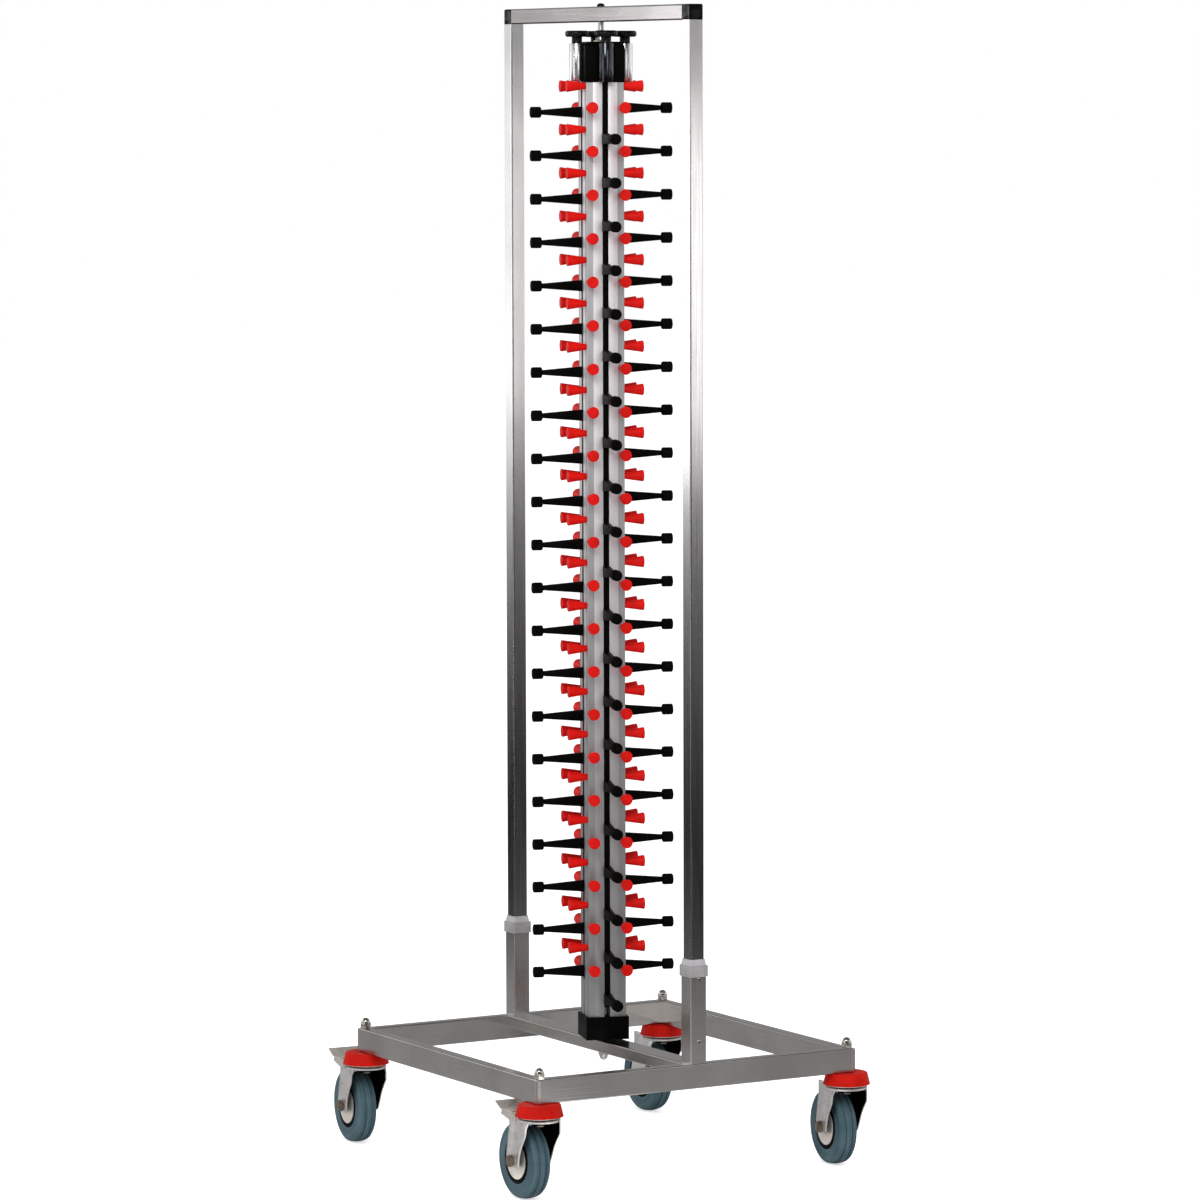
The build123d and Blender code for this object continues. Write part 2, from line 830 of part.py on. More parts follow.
def axle_set():
    """Bolt, nut, bearing sleeve and the two thread guards, all fixed to the fork."""
    guard_face = hub_half + guard_gap
    bolt = disc(axle_radius, -leg_face - axle_nut_height - rod_end, leg_face + overlap)
    bolt += hexagon(nut_flats, leg_face, leg_face + axle_head_height)
    bore = axle_radius + slip / 2
    nut = hexagon(nut_flats, -leg_face - axle_nut_height, -leg_face)
    nut -= disc(bore, -2 * leg_face, 0)
    sleeve = ring(bore, sleeve_radius, -guard_face, guard_face)
    guard = ring(bore, guard_radius, guard_face, guard_face + guard_thickness)
    guard += ring(bore, guard_boss, guard_face, leg_face - leg_sheet)
    return [on_axle(piece) for piece in (bolt, nut, sleeve, guard, Rot(180, 0, 0) * guard)]


def wheel_rim():
    bore = sleeve_radius + turning_gap
    inner = rim_radius - rim_thickness
    body = ring(bore, hub_radius, -hub_half, hub_half)
    body += ring(bore, rim_radius, -web_half, web_half)
    body += ring(inner, rim_radius, -rim_half, rim_half)
    return on_axle(body)


def tyre():
    """Tyre with a crowned tread, turned from one section."""
    half = tyre_width / 2
    shoulder = (half, wheel_radius - tyre_shoulder)
    round_middle = (half - shoulder_round, wheel_radius - tyre_shoulder / 2)
    tread = (half - tread_inset, wheel_radius - tread_drop)

    def opposite(point):
        return (-point[0], point[1])

    bead = Polyline(opposite(shoulder), (-rim_half, rim_radius), (rim_half, rim_radius), shoulder)
    right = ThreePointArc(shoulder, round_middle, tread)
    crown = ThreePointArc(tread, (0, wheel_radius), opposite(tread))
    left = ThreePointArc(opposite(tread), opposite(round_middle), opposite(shoulder))
    section = make_face([*bead.edges(), right, crown, left])
    return Pos(0, wheel_trail, axle_height) * revolve(section, Axis.X)


def on_pivot(shape):
    """Lay a shape built along Z on the pedal's pivot, which runs along X."""
    return Pos(0, pedal_pivot_trail, crown_top + pedal_pivot_rise) * Rot(0, 90, 0) * shape


def side_plate(points, inner, outer):
    """Plate cut to a (trail, height) outline, between two distances from the middle."""
    face = Plane.YZ.offset(inner) * Polygon(*points, align=None)
    return extrude(face, outer - inner)


def pedal_lip():
    """Raised rear edge of the pedal, which widens as it rises."""
    middle = crown_top - pedal_sheet / 2
    low = Plane.XZ.offset(-pedal_deck_rear) * Pos(0, middle + pedal_deck_rise)
    high = Plane.XZ.offset(-pedal_lip_trail) * Pos(0, middle + pedal_lip_rise)
    narrow = low * Rectangle(2 * pedal_half_width, pedal_sheet)
    wide = high * Rectangle(2 * (pedal_half_width + pedal_lip_flare), pedal_sheet)
    return loft([narrow, wide], ruled=True)


def pedal_flange():
    """Side flange of the pedal, outside the fork's leg."""
    joined = pedal_deck_rise - pedal_sheet / 2
    front = pedal_pivot_trail - flange_end
    outline = [
        (front, pedal_pivot_rise - flange_end),
        (pedal_pivot_trail + flange_end, pedal_pivot_rise - flange_end),
        (flange_knee_trail, flange_knee_rise),
        (flange_rear_trail, flange_rear_rise),
        (pedal_deck_rear, joined),
        (pedal_deck_front, joined),
        (front, pedal_pivot_rise + flange_end),
    ]
    outline = [(trail, crown_top + rise) for trail, rise in outline]
    return side_plate(outline, leg_face + pedal_flange_gap, pedal_outer)


def brake_pedal():
    """Foot pedal with its brake shoe, and the pin that it tips on."""
    deck_low = crown_top + pedal_deck_rise - pedal_sheet
    shoe_bottom = crown_top + shoe_bottom_rise
    deck = Pos(0, pedal_deck_front, deck_low) * Box(
        2 * pedal_half_width,
        pedal_deck_rear - pedal_deck_front,
        pedal_sheet,
        align=(Align.CENTER, Align.MIN, Align.MIN),
    )
    shoe = Pos(0, shoe_front, shoe_bottom) * Box(
        2 * shoe_half,
        shoe_rear - shoe_front,
        deck_low - shoe_bottom,
        align=(Align.CENTER, Align.MIN, Align.MIN),
    )
    flange = pedal_flange()
    body = deck + shoe + pedal_lip() + flange + mirror(flange, Plane.YZ)
    body -= on_pivot(Cylinder(pedal_pin_radius + slip / 2, bore_length))
    pin_length_across = 2 * (pedal_outer + pedal_pin_end)
    return [body, on_pivot(Cylinder(pedal_pin_radius, pin_length_across))]


def caster_parts():
    caster_studs()
    save("stud_dome_nuts", *[at_caster(name, dome_nut()) for name in casters])
    save("bumper_rings", *[at_caster(name, bumper_ring()) for name in casters])
    save("caster_upper_races", *[at_caster(name, upper_race()) for name in casters])
    swivel_balls()
    for name, (_, _, _, braked) in casters.items():
        save(f"fork_{name}", at_caster(name, fork(braked)))
        save(f"axle_{name}", *[at_caster(name, piece) for piece in axle_set()])
        save(f"rim_{name}", at_caster(name, wheel_rim()))
        save(f"tyre_{name}", at_caster(name, tyre()))
        if braked:
            save(f"brake_pedal_{name}", *[at_caster(name, piece) for piece in brake_pedal()])


def build():
    os.makedirs("parts", exist_ok=True)
    base_rails()
    crossbeam()
    sockets()
    collars()
    uprights()
    socket_screws()
    top_bar()
    corner_connectors()
    centre_rod()
    rod_nuts()
    column_profiles()
    base_block()
    top_block()
    column_bushes()
    screw_housings()
    red_pins()
    strips_and_arms()
    knobs()
    caster_parts()


build()
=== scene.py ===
import json
import math

import bpy
from mathutils import Euler, Matrix, Vector

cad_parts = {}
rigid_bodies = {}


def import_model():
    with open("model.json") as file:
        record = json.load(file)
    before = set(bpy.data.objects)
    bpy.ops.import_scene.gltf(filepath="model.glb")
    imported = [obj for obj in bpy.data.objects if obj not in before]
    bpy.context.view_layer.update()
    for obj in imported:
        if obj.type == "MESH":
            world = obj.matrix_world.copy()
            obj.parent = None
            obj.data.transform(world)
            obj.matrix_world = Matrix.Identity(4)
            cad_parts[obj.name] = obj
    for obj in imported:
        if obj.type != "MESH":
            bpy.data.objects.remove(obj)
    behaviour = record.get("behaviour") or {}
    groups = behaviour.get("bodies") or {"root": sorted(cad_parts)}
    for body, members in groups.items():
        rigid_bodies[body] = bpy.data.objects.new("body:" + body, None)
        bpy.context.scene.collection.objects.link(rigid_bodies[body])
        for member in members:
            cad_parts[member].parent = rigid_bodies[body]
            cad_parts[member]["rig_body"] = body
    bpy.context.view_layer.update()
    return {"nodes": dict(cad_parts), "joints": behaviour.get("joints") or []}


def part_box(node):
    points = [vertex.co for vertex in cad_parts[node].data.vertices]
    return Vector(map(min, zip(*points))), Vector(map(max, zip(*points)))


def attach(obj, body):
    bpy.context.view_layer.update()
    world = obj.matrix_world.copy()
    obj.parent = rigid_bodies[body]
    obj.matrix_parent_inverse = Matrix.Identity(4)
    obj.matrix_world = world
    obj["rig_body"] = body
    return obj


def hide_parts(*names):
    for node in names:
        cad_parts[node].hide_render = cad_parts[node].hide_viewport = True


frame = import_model()
nodes = frame["nodes"]
print("frame loaded")


# helpers for working as by hand

# lengths in metres, angles in degrees
meshCare = {
    "merge": 0.00001,
    "turnedMerge": 0.000005,
    "flatAngle": 0.3,
    "sharpAngle": 35,
    "roundSteps": 2,
}


def deselectAll():
    if bpy.context.object and bpy.context.object.mode != "OBJECT":
        bpy.ops.object.mode_set(mode="OBJECT")
    bpy.ops.object.select_all(action="DESELECT")


def makeActive(piece):
    deselectAll()
    piece.select_set(True)
    bpy.context.view_layer.objects.active = piece


def openMesh(piece, action):
    # edit mode, with all or nothing selected
    makeActive(piece)
    bpy.ops.object.mode_set(mode="EDIT")
    bpy.ops.mesh.select_all(action=action)


def shadeSmooth(piece, angle):
    makeActive(piece)
    bpy.ops.object.shade_smooth_by_angle(angle=math.radians(angle))


def roundEdges(piece, width):
    makeActive(piece)
    bevel = piece.modifiers.new("roundEdges", "BEVEL")
    bevel.width = width
    bevel.segments = meshCare["roundSteps"]
    bevel.limit_method = "ANGLE"
    bevel.angle_limit = math.radians(meshCare["sharpAngle"])
    bpy.ops.object.modifier_apply(modifier=bevel.name)


def setInPlace(piece, place):
    makeActive(piece)
    piece.matrix_world = place
    bpy.ops.object.transform_apply(location=True, rotation=True, scale=True)


def joinPieces(pieces, name):
    makeActive(pieces[0])
    for piece in pieces:
        piece.select_set(True)
    bpy.ops.object.join()
    joined = bpy.context.object
    joined.name = name
    return joined


def turnProfile(name, profile, steps):
    # a row of extruded points, spun about Z; profile holds (radius, height)
    deselectAll()
    bpy.ops.mesh.primitive_plane_add(size=0.001)
    piece = bpy.context.object
    piece.name = name
    openMesh(piece, "SELECT")
    bpy.ops.mesh.merge(type="CENTER")
    bpy.ops.transform.translate(value=(profile[0][0], 0, profile[0][1]))
    for here, there in zip(profile, profile[1:]):
        step = (there[0] - here[0], 0, there[1] - here[1])
        bpy.ops.mesh.extrude_region_move(TRANSFORM_OT_translate={"value": step})
    bpy.ops.mesh.select_all(action="SELECT")
    bpy.ops.mesh.spin(steps=steps, angle=2 * math.pi, center=(0, 0, 0), axis=(0, 0, 1))
    bpy.ops.mesh.select_all(action="SELECT")
    bpy.ops.mesh.remove_doubles(threshold=meshCare["turnedMerge"])
    bpy.ops.mesh.normals_make_consistent(inside=False)
    bpy.ops.object.mode_set(mode="OBJECT")
    return piece


def cleanCopy(node, edgeRound):
    # a merged copy of a CAD node with its sharp edges rounded
    piece = bpy.data.objects.new(node + "_finish", nodes[node].data.copy())
    bpy.context.scene.collection.objects.link(piece)
    openMesh(piece, "SELECT")
    bpy.ops.mesh.remove_doubles(threshold=meshCare["merge"])
    bpy.ops.mesh.dissolve_limited(angle_limit=math.radians(meshCare["flatAngle"]))
    bpy.ops.mesh.customdata_custom_splitnormals_clear()
    bpy.ops.object.mode_set(mode="OBJECT")
    roundEdges(piece, edgeRound)
    shadeSmooth(piece, meshCare["sharpAngle"])
    return piece


def paint(piece, material):
    piece.data.materials.clear()
    piece.data.materials.append(material)


def fit(piece, material, slot, *replaced, body=None):
    # a piece without a body of its own rides with the node that it replaces
    paint(piece, material)
    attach(piece, body or nodes[replaced[0]]["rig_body"])
    if replaced:
        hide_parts(*replaced)


def soften(node, material, slot, width):
    # a CAD node with its edges rounded, dressed and fitted in its place
    piece = cleanCopy(node, width)
    fit(piece, material, slot, node)
    return piece


def markFaces(piece, material, chosen):
    # a second material, on the faces that the test picks
    piece.data.materials.append(material)
    for face in piece.data.polygons:
        face.material_index = int(chosen(face))


# helpers for materials


def addNode(tree, kind, inputs=None, **settings):
    # a node with its settings; inputs are values or sockets to link from
    node = tree.nodes.new(kind)
    for name, value in settings.items():
        setattr(node, name, value)
    for socket, source in (inputs or {}).items():
        if hasattr(source, "links"):
            tree.links.new(source, node.inputs[socket])
        else:
            node.inputs[socket].default_value = source
    return node


def calculate(tree, operation, *values):
    return addNode(tree, "ShaderNodeMath", dict(enumerate(values)), operation=operation).outputs[0]


def vectorNode(tree, operation, *values):
    return addNode(tree, "ShaderNodeVectorMath", dict(enumerate(values)), operation=operation)


def objectPlace(tree):
    return addNode(tree, "ShaderNodeTexCoord").outputs["Object"]


def splitAxes(tree, vector):
    return addNode(tree, "ShaderNodeSeparateXYZ", {0: vector}).outputs


def newMaterial(name, colour, roughness, metallic=0.0, specular=0.5):
    material = bpy.data.materials.new(name)
    material.use_nodes = True
    shader = material.node_tree.nodes["Principled BSDF"]
    shader.inputs["Base Color"].default_value = (*colour, 1)
    shader.inputs["Roughness"].default_value = roughness
    shader.inputs["Metallic"].default_value = metallic
    shader.inputs["Specular IOR Level"].default_value = specular
    return material


def objectNoise(tree, scale, detail=3.0, centre=(0, 0, 0), turn=(0, 0, 0)):
    # noise on object coordinates, with its own scale along each axis
    place = {"Vector": objectPlace(tree), "Location": centre, "Rotation": turn, "Scale": scale}
    mapped = addNode(tree, "ShaderNodeMapping", place).outputs["Vector"]
    noise = {"Vector": mapped, "Scale": 1.0, "Detail": detail}
    return addNode(tree, "ShaderNodeTexNoise", noise).outputs["Fac"]


def spread(tree, value, low, high, start=0.3, end=0.7):
    # stretches a value between start and end to low and high
    ranges = {0: value, 1: start, 2: end, 3: low, 4: high}
    return addNode(tree, "ShaderNodeMapRange", ranges).outputs[0]


def colourRamp(tree, value, stops):
    ramp = addNode(tree, "ShaderNodeValToRGB", {0: value})
    elements = ramp.color_ramp.elements
    while len(elements) < len(stops):
        elements.new(0.5)
    for element, (position, colour) in zip(elements, stops):
        element.position = position
        element.color = (*colour, 1)
    return ramp.outputs["Color"]


def twoTones(tree, value, look):
    # the look's dark and light tones, where the noise is low and high
    return colourRamp(tree, value, [(0.3, look["dark"]), (0.7, look["light"])])


def heightRamp(tree, stops):
    # a ramp up the object; stops hold a height in metres and a colour
    low, high = stops[0][0], stops[-1][0]
    height = spread(tree, splitAxes(tree, objectPlace(tree))["Z"], 0, 1, low, high)
    return colourRamp(tree, height, [((at - low) / (high - low), colour) for at, colour in stops])


def levelRamp(tree, value, stops):
    # grey levels, which may pass 1, by a value between the first and last stops
    low, high = stops[0][0], stops[-1][0]
    top = max(level for _, level in stops)
    greys = [((at - low) / (high - low), (level / top,) * 3) for at, level in stops]
    ramp = colourRamp(tree, spread(tree, value, 0, 1, low, high), greys)
    return calculate(tree, "MULTIPLY", ramp, top)


def blendColours(tree, share, first, second, mode="MIX"):
    colours = {0: share, 6: first, 7: second}
    return addNode(tree, "ShaderNodeMix", colours, data_type="RGBA", blend_type=mode).outputs[2]


def multiplyColours(tree, first, second):
    return blendColours(tree, 1.0, first, second, "MULTIPLY")


def wire(tree, socket, value):
    tree.links.new(value, tree.nodes["Principled BSDF"].inputs[socket])


def addBump(tree, height, strength, distance):
    relief = {"Height": height, "Strength": strength, "Distance": distance}
    wire(tree, "Normal", addNode(tree, "ShaderNodeBump", relief).outputs["Normal"])


# brushed steel of the frame

steelLook = {
    "dark": (0.46, 0.44, 0.425),
    "light": (0.58, 0.56, 0.54),
    "roughness": (0.14, 0.24),
    "cloudScale": 9,
    "grainAcross": 900,
    "grainAlong": 7,
    "grainHeight": 0.00003,
    "grainStrength": 0.25,
    "streaks": ((0.25, (0.86, 0.86, 0.86)), (0.75, (1, 1, 1))),
    # strips ground beside the mitres: length, soft edge, tint and added roughness
    "groundZone": 0.007,
    "groundEdge": 0.0006,
    "groundTint": (1.16, 1.10, 1.10, 1),
    "groundRough": 0.1,
}
# top bar: the same steel painted darker, a painted shade
topBarPaintedShadeLook = {"dark": (0.31, 0.295, 0.295), "light": (0.37, 0.35, 0.352)}
# upright steel: the frame's steel painted paler, with a painted reflection up its height
uprightLook = {
    "dark": (0.74, 0.715, 0.72),
    "light": (0.84, 0.82, 0.825),
    # painted reflection: share of the tone by height in metres, darker towards the bottom and lighter
    # up the tube
    "levels": (
        (0.40, 0.34), (0.62, 0.38), (0.90, 0.50), (1.10, 0.66), (1.26, 0.95), (1.70, 1.0), (1.84, 0.80),
    ),
    "blueShare": 0.99,
}


def groundEnds(tree, along, node):
    # 1 on the ground strips at both mitred ends of a rail, 0 between them
    low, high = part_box(node)
    middle = (low[along] + high[along]) / 2
    away = calculate(tree, "SUBTRACT", splitAxes(tree, objectPlace(tree))[along], middle)
    start = high[along] - middle - steelLook["groundZone"]
    soft = steelLook["groundEdge"]
    return spread(tree, calculate(tree, "ABSOLUTE", away), 0, 1, start - soft, start + soft)


def brushedSteel(name, along, look=steelLook, rail=None):
    # along is 0, 1 or 2: the axis that the brush lines follow
    material = newMaterial(name, look["light"], steelLook["roughness"][1], metallic=1.0)
    tree = material.node_tree
    scale = [steelLook["grainAcross"]] * 3
    scale[along] = steelLook["grainAlong"]
    lines = objectNoise(tree, scale)
    clouds = objectNoise(tree, (steelLook["cloudScale"],) * 3, detail=4)
    streaks = colourRamp(tree, lines, steelLook["streaks"])
    tone = multiplyColours(tree, twoTones(tree, clouds, look), streaks)
    roughness = spread(tree, lines, *steelLook["roughness"])
    if rail:
        ground = groundEnds(tree, along, rail)
        tone = blendColours(tree, ground, tone, multiplyColours(tree, tone, steelLook["groundTint"]))
        roughness = calculate(tree, "MULTIPLY_ADD", ground, steelLook["groundRough"], roughness)
    # painted reflection: the tone is scaled by height up the piece
    if "levels" in look:
        blue = look["blueShare"]
        stops = [(at, (share, share, share * blue)) for at, share in look["levels"]]
        tone = multiplyColours(tree, tone, heightRamp(tree, stops))
    wire(tree, "Base Color", tone)
    wire(tree, "Roughness", roughness)
    addBump(tree, lines, steelLook["grainStrength"], steelLook["grainHeight"])
    return material


# satin aluminium of the column

aluminiumLook = {
    "outer": {"dark": (0.436, 0.442, 0.450), "light": (0.496, 0.502, 0.512), "fade": 0.5},
    "inner": {"dark": (0.830, 0.812, 0.840), "light": (0.905, 0.888, 0.915), "fade": 1.0},
    # painted reflection and shade: share of the tone by height in metres, darker towards the bottom;
    # the outer bands fade less, and their red a little more
    "levels": (
        (0.28, 0.38), (0.45, 0.43), (0.60, 0.50), (0.75, 0.70), (0.90, 0.84),
        (1.25, 0.97), (1.50, 1.0), (1.62, 1.0), (1.74, 1.08),
    ),
    "redFade": 0.07,
    "metallic": 0.5,
    "specular": 0.2,
    "roughness": (0.42, 0.52),
    "cloudScale": (40, 40, 3),
    "lineScale": (1400, 1400, 2.5),
    "lineStrength": 0.2,
    "lineHeight": 0.00002,
    "streaks": ((0.2, (0.92, 0.92, 0.92)), (0.8, (1, 1, 1))),
    # the column's turn at rest in degrees, and the bands' edge from its middle planes
    "turn": 18.45,
    "bandEdge": 0.0203,
}


def bandMask(tree):
    # 1 on the paler raised bands beside the slots, 0 on the outer bands
    low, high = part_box("centre_rod")
    centred = vectorNode(tree, "SUBTRACT", objectPlace(tree), (low + high) / 2).outputs[0]
    turn = {"Vector": centred, "Angle": math.radians(aluminiumLook["turn"])}
    turned = addNode(tree, "ShaderNodeVectorRotate", turn, rotation_type="Z_AXIS").outputs["Vector"]
    axes = splitAxes(tree, turned)
    lengths = [calculate(tree, "ABSOLUTE", axes[axis]) for axis in ("X", "Y")]
    return calculate(tree, "LESS_THAN", calculate(tree, "MINIMUM", *lengths), aluminiumLook["bandEdge"])


def satinAluminium(name):
    look = aluminiumLook
    base = look["inner"]["light"]
    material = newMaterial(name, base, look["roughness"][0], look["metallic"], look["specular"])
    tree = material.node_tree
    lines = objectNoise(tree, look["lineScale"])
    clouds = objectNoise(tree, look["cloudScale"], detail=2)
    bands = []
    # painted reflection and shade by height, on each band
    for band in (look["outer"], look["inner"]):
        stops = []
        for height, share in look["levels"]:
            faded = share ** band["fade"]
            red = faded * (1 - look["redFade"]) + share * look["redFade"]
            stops.append((height, (red, faded, faded)))
        bands.append(multiplyColours(tree, twoTones(tree, clouds, band), heightRamp(tree, stops)))
    tone = blendColours(tree, bandMask(tree), *bands)
    wire(tree, "Base Color", multiplyColours(tree, tone, colourRamp(tree, lines, look["streaks"])))
    wire(tree, "Roughness", spread(tree, lines, *look["roughness"]))
    addBump(tree, lines, look["lineStrength"], look["lineHeight"])
    return material


# plastics: dark and light tone, roughness from and to, specular level

plasticSkin = {"cloudScale": 60, "grainScale": 1500, "grainStrength": 0.3, "grainHeight": 0.00003}
plasticLooks = {
    "pinRedPlastic": ((0.56, 0.0040, 0.0022), (0.71, 0.0065, 0.0036), (0.34, 0.46), 0.12),
    "bumperRedPlastic": ((0.42, 0.0055, 0.0025), (0.55, 0.009, 0.004), (0.42, 0.55), 0.07),
    "matteBlackPlastic": ((0.0009, 0.0010, 0.0008), (0.0020, 0.0021, 0.0017), (0.42, 0.56), 0.05),
    "glossBlackPlastic": ((0.0009, 0.0010, 0.0010), (0.0020, 0.0021, 0.0021), (0.10, 0.16), 0.10),
    "capRubber": ((0.0012, 0.0012, 0.0010), (0.0026, 0.0026, 0.0021), (0.62, 0.74), 0.04),
    "knobBlackPlastic": ((0.0010, 0.0012, 0.0012), (0.0024, 0.0027, 0.0028), (0.2, 0.32), 0.22),
    # painted light, for the collars' necks
    "collarPaintedLightPlastic": ((0.36, 0.35, 0.365), (0.43, 0.42, 0.44), (0.4, 0.52), 0.22),
    "collarGreyPlastic": ((0.26, 0.25, 0.255), (0.33, 0.32, 0.33), (0.4, 0.52), 0.22),
    "bushPalePlastic": ((0.60, 0.60, 0.56), (0.70, 0.70, 0.66), (0.4, 0.5), 0.4),
    "rimBlackPlastic": ((0.0010, 0.0011, 0.0013), (0.0026, 0.0026, 0.0031), (0.45, 0.6), 0.03),
    # painted shade, for the fork's inner faces and its crown dish
    "forkPaintedShade": ((0.0010, 0.0009, 0.0009), (0.0026, 0.0024, 0.0023), (0.5, 0.65), 0.01),
}


def mouldedPlastic(name, dark, light, roughness, specular):
    material = newMaterial(name, light, roughness[0], specular=specular)
    tree = material.node_tree
    clouds = objectNoise(tree, (plasticSkin["cloudScale"],) * 3)
    skin = objectNoise(tree, (plasticSkin["grainScale"],) * 3, detail=2)
    wire(tree, "Base Color", twoTones(tree, clouds, {"dark": dark, "light": light}))
    wire(tree, "Roughness", spread(tree, skin, *roughness))
    addBump(tree, skin, plasticSkin["grainStrength"], plasticSkin["grainHeight"])
    return material


# metals: dark and light tone, roughness from and to, scale of the clouds, metallic

metalLooks = {
    "polishedSteel": ((0.56, 0.52, 0.48), (0.72, 0.68, 0.64), (0.06, 0.13), 70, 1.0),
    "housingChrome": ((0.74, 0.73, 0.76), (0.86, 0.85, 0.88), (0.18, 0.26), 70, 1.0),
    # painted dark reflection, for the front and back housings
    "housingPaintedDarkReflection": ((0.050, 0.054, 0.062), (0.085, 0.092, 0.104), (0.10, 0.16), 70, 1.0),
    "screwSteel": ((0.14, 0.135, 0.13), (0.20, 0.19, 0.18), (0.12, 0.2), 70, 1.0),
    # painted highlight, for the upward faces of the socket screws
    "screwPaintedHighlight": ((0.50, 0.485, 0.47), (0.60, 0.585, 0.57), (0.2, 0.3), 70, 0.3),
    "forkZinc": ((0.56, 0.535, 0.535), (0.73, 0.695, 0.685), (0.24, 0.38), 45, 0.7),
    "axleSteel": ((0.19, 0.145, 0.115), (0.30, 0.24, 0.19), (0.25, 0.38), 90, 1.0),
    "pedalSteel": ((0.66, 0.605, 0.56), (0.80, 0.745, 0.70), (0.26, 0.38), 60, 0.75),
    "guardPale": ((0.70, 0.645, 0.58), (0.84, 0.78, 0.71), (0.3, 0.42), 60, 0.35),
    "studSteel": ((0.40, 0.38, 0.37), (0.54, 0.52, 0.51), (0.2, 0.32), 90, 1.0),
    "rodThread": ((0.76, 0.78, 0.80), (0.86, 0.88, 0.90), (0.3, 0.42), 90, 1.0),
    "weldLine": ((0.014, 0.012, 0.011), (0.034, 0.029, 0.027), (0.45, 0.6), 400, 1.0),
}
threadLook = {"pitch": 0.0015, "depth": 0.0001, "strength": 0.8}


def plainMetal(name, dark, light, roughness, cloudScale, metallic):
    material = newMaterial(name, light, roughness[0], metallic=metallic)
    tree = material.node_tree
    clouds = objectNoise(tree, (cloudScale,) * 3, detail=5)
    wire(tree, "Base Color", twoTones(tree, clouds, {"dark": dark, "light": light}))
    wire(tree, "Roughness", spread(tree, clouds, *roughness))
    return material


def cutThread(material, node):
    # a helix round the middle of an upright node
    tree = material.node_tree
    low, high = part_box(node)
    centred = vectorNode(tree, "SUBTRACT", objectPlace(tree), (low + high) / 2).outputs[0]
    axes = splitAxes(tree, centred)
    angle = calculate(tree, "ARCTAN2", axes["Y"], axes["X"])
    turns = calculate(tree, "MULTIPLY", axes["Z"], 2 * math.pi / threadLook["pitch"])
    wave = calculate(tree, "SINE", calculate(tree, "ADD", turns, angle))
    addBump(tree, wave, threadLook["strength"], threadLook["depth"])


steelFront = brushedSteel("brushedSteelFront", 0, rail="base_front_rail")
steelRear = brushedSteel("brushedSteelRear", 0, rail="base_rear_rail")
steelLeft = brushedSteel("brushedSteelLeft", 1, rail="base_left_rail")
steelRight = brushedSteel("brushedSteelRight", 1, rail="base_right_rail")
steelDeep = brushedSteel("brushedSteelDeep", 1)
steelUp = brushedSteel("brushedSteelUp", 2)
steelUpright = brushedSteel("brushedSteelUpright", 2, uprightLook)
steelTopBar = brushedSteel("brushedSteelTopBar", 1, topBarPaintedShadeLook)
columnAluminium = satinAluminium("satinAluminium")
plastics = {name: mouldedPlastic(name, *look) for name, look in plasticLooks.items()}
metals = {name: plainMetal(name, *look) for name, look in metalLooks.items()}
cutThread(metals["rodThread"], "centre_rod")
print("materials made")


# CAD nodes that keep their own shape

keptNodes = {
    "base_front_rail": steelFront,
    "base_rear_rail": steelRear,
    "base_left_rail": steelLeft,
    "base_right_rail": steelRight,
    "crossbeam": steelDeep,
    "upright_sockets": steelUp,
    "upright_left": steelUpright,
    "upright_right": steelUpright,
    "top_bar": steelTopBar,
    "column_bushes": plastics["bushPalePlastic"],
    "centre_rod": metals["rodThread"],
    "caster_studs": metals["axleSteel"],
    "swivel_balls": metals["studSteel"],
    "caster_upper_races": metals["guardPale"],
}
for node, material in keptNodes.items():
    paint(nodes[node], material)
print("frame nodes painted")


# pieces that only need their edges rounded: node, material, slot, width in metres

blackPlastic = plastics["matteBlackPlastic"]
brightSteel = metals["polishedSteel"]
framePieces = (
    ("column_profiles", columnAluminium, "column_aluminium", 0.00025),
    ("corner_connectors", plastics["glossBlackPlastic"], "black_plastic", 0.0004),
    ("base_block", blackPlastic, "black_plastic", 0.0006),
    ("top_block", blackPlastic, "black_plastic", 0.0006),
    ("stud_dome_nuts", brightSteel, "bright_fasteners", 0.0004),
    ("red_pins", plastics["pinRedPlastic"], "pin_red", 0.0002),
    ("bumper_rings", plastics["bumperRedPlastic"], "bumper_red", 0.0005),
)
for node, material, slot, width in framePieces:
    soften(node, material, slot, width)


# pieces with a second material on some faces: painted highlights, light and reflections, and the rod's
# black cap nut

# painted highlight: the screws' domes are paler where they look up, over a darker body
screwLook = {"edge": 0.0002, "upward": 0.3}
screws = soften("socket_screws", metals["screwSteel"], "bright_fasteners", screwLook["edge"])
markFaces(screws, metals["screwPaintedHighlight"], lambda face: face.normal.z > screwLook["upward"])

# painted light: the collars' necks are painted paler than their bands
collarLook = {"edge": 0.0003, "neck": 0.0095}
collars = soften("socket_collars", plastics["collarGreyPlastic"], "collar_grey", collarLook["edge"])
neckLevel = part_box("socket_collars")[1].z - collarLook["neck"]
markFaces(collars, plastics["collarPaintedLightPlastic"], lambda face: face.center.z > neckLevel)

# bright cups over the screws: the front and back ones carry a painted dark reflection, a darker copy of
# the same chrome
housingLook = {"edge": 0.0003}
housings = soften("screw_housings", metals["housingChrome"], "bright_fasteners", housingLook["edge"])
columnMiddle = sum(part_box("column_profiles"), Vector()) / 2
columnTurn = Matrix.Rotation(math.radians(aluminiumLook["turn"]), 3, "Z")


def onFrontOrBack(face):
    spot = columnTurn @ (face.center - columnMiddle)
    return abs(spot.y) > abs(spot.x)


markFaces(housings, metals["housingPaintedDarkReflection"], onFrontOrBack)

# nuts on the rod: the top one is a black cap nut, over the bar
rodNutLook = {"edge": 0.0004, "capDepth": 0.0005}
rodNuts = soften("rod_nuts", brightSteel, "bright_fasteners", rodNutLook["edge"])
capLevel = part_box("top_bar")[1].z - rodNutLook["capDepth"]
markFaces(rodNuts, plastics["knobBlackPlastic"], lambda face: face.center.z > capLevel)

